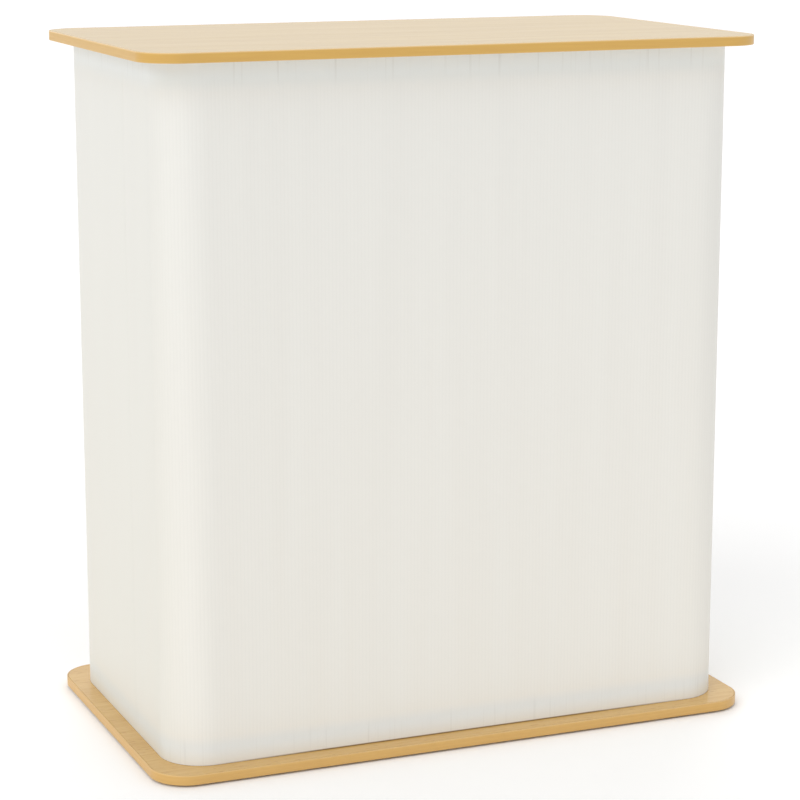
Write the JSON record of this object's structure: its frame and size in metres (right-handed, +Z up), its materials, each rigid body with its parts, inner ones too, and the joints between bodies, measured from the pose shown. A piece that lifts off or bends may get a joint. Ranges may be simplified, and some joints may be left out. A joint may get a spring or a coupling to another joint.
{
  "type": "folding portable bar",
  "caption": "Standing bar counter: laminate top and base with a translucent fluted sheet wrapped round a folding frame, open at the back, with flip-up shelves and inward-folding wings.",
  "frame": {"origin": "on the floor, under the middle of the base", "axes": "+Z up, +X to the right seen from the front, -Y towards the front sheet, +Y towards the open back"},
  "size_m": [0.87, 0.508, 0.95],
  "materials": {
    "laminate": "satin pale wood laminate",
    "edge_band": "satin wood-look edge band",
    "sheet": "translucent white fluted polypropylene",
    "frame_tube": "satin anodised",
    "hook_tape": "grey hook-and-loop tape",
    "trim": "white extruded plastic",
    "bracket": "zinc-plated steel",
    "hinge_leaf": "nickel-plated steel",
    "hinge_pin": "bright steel",
    "foot": "matt black rubber"
  },
  "bodies": {
    "base": {"base_board": "laminate", "base_edge_band": "edge_band", "front_left_foot": "foot", "front_right_foot": "foot", "rear_left_foot": "foot", "rear_right_foot": "foot"},
    "front_frame": {"front_bottom_rail": "frame_tube", "front_top_rail": "frame_tube", "front_bottom_hook_tape": "hook_tape", "front_top_hook_tape": "hook_tape", "front_sheet": "sheet", "front_left_post": "frame_tube", "front_right_post": "frame_tube", "front_left_hinge_post": "frame_tube", "front_right_hinge_post": "frame_tube", "left_hinge_frame_leaf": "hinge_leaf", "right_hinge_frame_leaf": "hinge_leaf", "left_hinge_pin": "hinge_pin", "right_hinge_pin": "hinge_pin", "lower_shelf_rail": "frame_tube", "upper_shelf_rail": "frame_tube", "lower_shelf_rail_leaf": "hinge_leaf", "upper_shelf_rail_leaf": "hinge_leaf", "lower_shelf_hinge_pin": "hinge_pin", "upper_shelf_hinge_pin": "hinge_pin"},
    "left_wing": {"left_bottom_rail": "frame_tube", "left_top_rail": "frame_tube", "left_bottom_hook_tape": "hook_tape", "left_top_hook_tape": "hook_tape", "left_sheet": "sheet", "left_edge_trim": "trim", "left_hinge_post": "frame_tube", "left_bracket_post": "frame_tube", "left_rear_post": "frame_tube", "left_lower_shelf_bracket": "bracket", "left_upper_shelf_bracket": "bracket", "left_hinge_wing_leaf": "hinge_leaf"},
    "right_wing": {"right_bottom_rail": "frame_tube", "right_top_rail": "frame_tube", "right_bottom_hook_tape": "hook_tape", "right_top_hook_tape": "hook_tape", "right_sheet": "sheet", "right_edge_trim": "trim", "right_hinge_post": "frame_tube", "right_bracket_post": "frame_tube", "right_rear_post": "frame_tube", "right_lower_shelf_bracket": "bracket", "right_upper_shelf_bracket": "bracket", "right_hinge_wing_leaf": "hinge_leaf"},
    "lower_shelf": {"lower_shelf_board": "laminate", "lower_shelf_edge_band": "edge_band", "lower_shelf_board_leaf": "hinge_leaf"},
    "upper_shelf": {"upper_shelf_board": "laminate", "upper_shelf_edge_band": "edge_band", "upper_shelf_board_leaf": "hinge_leaf"},
    "top": {"top_board": "laminate", "top_edge_band": "edge_band"}
  },
  "joints": [
    {"name": "frame_lift", "type": "slide", "parent": "base", "child": "front_frame", "axis": [0, 0, 1], "range_m": [0, 0.06]},
    {"name": "top_lift", "type": "slide", "parent": "front_frame", "child": "top", "axis": [0, 0, 1], "range_m": [0, 0.06]},
    {"name": "left_wing_fold", "type": "hinge", "parent": "front_frame", "child": "left_wing", "pos_m": [-0.3845, -0.06, 0.4765], "axis": [0, 0, -1], "range_deg": [0, 90]},
    {"name": "right_wing_fold", "type": "hinge", "parent": "front_frame", "child": "right_wing", "pos_m": [0.3845, -0.06, 0.4765], "axis": [0, 0, 1], "range_deg": [0, 90]},
    {"name": "lower_shelf_fold", "type": "hinge", "parent": "front_frame", "child": "lower_shelf", "pos_m": [0, -0.20405, 0.3163], "axis": [1, 0, 0], "range_deg": [0, 90]},
    {"name": "upper_shelf_fold", "type": "hinge", "parent": "front_frame", "child": "upper_shelf", "pos_m": [0, -0.20405, 0.6163], "axis": [1, 0, 0], "range_deg": [0, 90]}
  ],
  "couplings": [
    {"joint": "right_wing_fold", "follows": "left_wing_fold", "ratio": 1},
    {"joint": "lower_shelf_fold", "follows": "left_wing_fold", "ratio": 1},
    {"joint": "upper_shelf_fold", "follows": "left_wing_fold", "ratio": 1}
  ]
}
